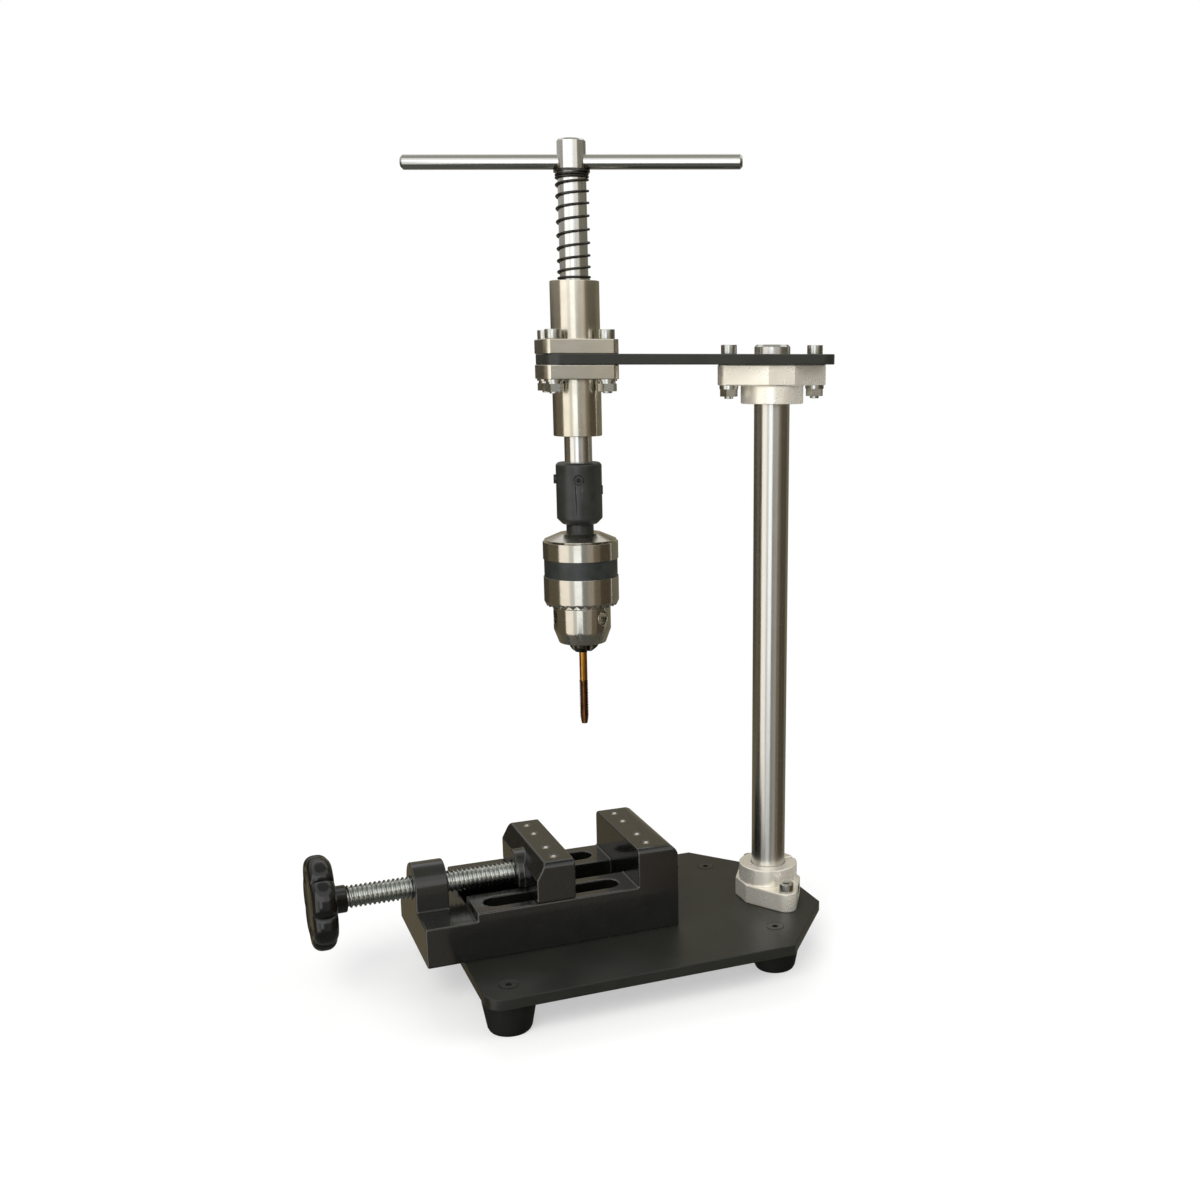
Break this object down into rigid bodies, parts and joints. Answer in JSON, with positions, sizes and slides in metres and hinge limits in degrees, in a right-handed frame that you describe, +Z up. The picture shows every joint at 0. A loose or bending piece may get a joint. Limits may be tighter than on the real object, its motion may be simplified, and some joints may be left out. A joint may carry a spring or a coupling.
{
  "type": "tapping stand",
  "caption": "Hand tapping stand: sprung spindle with cross bar and key chuck on a swinging arm and column, over a drill vise on a base plate with rubber feet.",
  "frame": {"origin": "on the floor plane under the feet, below the middle of the whole stand's bounding box", "axes": "+X along the vise screw from knob to column, +Y to the back, +Z up along the column"},
  "size_m": [0.2397, 0.126, 0.3617],
  "materials": {
    "base_paint": "satin black powder coat on steel plate",
    "foot_rubber": "matt moulded black rubber",
    "black_fastener": "black oxide on steel",
    "bright_fastener": "bright zinc plate on steel",
    "cast_support": "satin die-cast aluminium",
    "vise_casting": "semi-gloss black paint on a casting",
    "column_chrome": "ground and hard-chromed steel",
    "arm_finish": "satin black on steel plate",
    "bearing_shell": "satin nickel plate on steel",
    "bearing_cage": "moulded acetal",
    "bearing_seal": "nitrile rubber",
    "spring_wire": "oil-tempered spring wire",
    "spindle_steel": "ground and hard-chromed steel",
    "coupling_black": "black oxide on turned steel",
    "chuck_steel": "turned and polished steel",
    "chuck_black": "black oxide band",
    "jaw_steel": "hardened jaw steel",
    "tap_gold": "titanium nitride coat on steel",
    "screw_zinc": "bright zinc plate on steel",
    "knob_plastic": "glossy black moulded plastic"
  },
  "bodies": {
    "root": {"base_plate": "base_paint", "foot_front_left": "foot_rubber", "foot_front_right": "foot_rubber", "foot_rear_left": "foot_rubber", "foot_rear_right": "foot_rubber", "foot_screws": "black_fastener", "foot_nuts": "bright_fastener", "base_flange": "cast_support", "base_flange_screws": "bright_fastener", "base_clamp_screw": "black_fastener", "vise_body": "vise_casting", "vise_mount_screws": "black_fastener"},
    "column": {"column": "column_chrome"},
    "arm": {"arm_plate": "arm_finish", "arm_flange": "cast_support", "arm_flange_screws": "bright_fastener", "arm_flange_washers": "bright_fastener", "arm_flange_nuts": "bright_fastener", "arm_clamp_screw": "black_fastener", "upper_bearing": "bearing_shell", "lower_bearing": "bearing_shell", "bearing_cages": "bearing_cage", "bearing_seals": "bearing_seal", "bearing_screws": "bright_fastener", "bearing_washers": "bright_fastener", "bearing_nuts": "bright_fastener", "return_spring": "spring_wire"},
    "feed": {"spring_washer": "spring_wire"},
    "spindle": {"spindle_shaft": "spindle_steel", "cross_bar": "spindle_steel", "chuck_coupling": "coupling_black", "coupling_set_screws": "black_fastener", "chuck_body": "chuck_steel", "tap": "tap_gold"},
    "chuck_sleeve": {"chuck_sleeve": "chuck_steel", "chuck_band": "chuck_black", "chuck_nut": "chuck_steel"},
    "chuck_jaw_1": {"chuck_jaw_1": "jaw_steel"},
    "chuck_jaw_2": {"chuck_jaw_2": "jaw_steel"},
    "chuck_jaw_3": {"chuck_jaw_3": "jaw_steel"},
    "sliding_jaw": {"vise_moving_jaw": "vise_casting", "jaw_keeper_plate": "black_fastener", "jaw_keeper_screws": "bright_fastener", "screw_retaining_pin": "bright_fastener"},
    "vise_screw": {"vise_screw": "screw_zinc", "vise_knob": "knob_plastic"}
  },
  "joints": [
    {"name": "column_turn", "type": "hinge", "parent": "root", "child": "column", "pos_m": [0.09315, -0.005, 0.02], "axis": [0, 0, 1], "continuous": true},
    {"name": "arm_height", "type": "slide", "parent": "column", "child": "arm", "axis": [0, 0, 1], "range_m": [-0.02, 0]},
    {"name": "spindle_feed", "type": "slide", "parent": "arm", "child": "feed", "axis": [0, 0, -1], "range_m": [0, 0.028], "stiffness_N_per_m": 745, "springref_m": -0.01, "deforming": ["return_spring"]},
    {"name": "spindle_turn", "type": "hinge", "parent": "feed", "child": "spindle", "pos_m": [0.00625, 0.008, 0.3], "axis": [0, 0, 1], "continuous": true},
    {"name": "chuck_sleeve_turn", "type": "hinge", "parent": "spindle", "child": "chuck_sleeve", "pos_m": [0.00625, 0.008, 0.18], "axis": [0, 0, 1], "range_deg": [0, 1001]},
    {"name": "chuck_jaw_1_slide", "type": "slide", "parent": "spindle", "child": "chuck_jaw_1", "axis": [0.1564, -0.0027, 0.9877], "range_m": [0, 0.005]},
    {"name": "chuck_jaw_2_slide", "type": "slide", "parent": "spindle", "child": "chuck_jaw_2", "axis": [-0.0758, 0.1368, 0.9877], "range_m": [0, 0.005]},
    {"name": "chuck_jaw_3_slide", "type": "slide", "parent": "spindle", "child": "chuck_jaw_3", "axis": [-0.0806, -0.1341, 0.9877], "range_m": [0, 0.005]},
    {"name": "jaw_slide", "type": "slide", "parent": "root", "child": "sliding_jaw", "axis": [1, 0, 0], "range_m": [-0.02, 0.0275]},
    {"name": "screw_turn", "type": "hinge", "parent": "sliding_jaw", "child": "vise_screw", "pos_m": [-0.05, 0.008, 0.0455], "axis": [1, 0, 0], "range_deg": [-3601, 4951]}
  ],
  "couplings": [
    {"joint": "chuck_sleeve_turn", "follows": "chuck_jaw_1_slide", "rad_per_m": 3490.7},
    {"joint": "chuck_jaw_2_slide", "follows": "chuck_jaw_1_slide", "ratio": 1},
    {"joint": "chuck_jaw_3_slide", "follows": "chuck_jaw_1_slide", "ratio": 1},
    {"joint": "screw_turn", "follows": "jaw_slide", "rad_per_m": 3141.6}
  ]
}
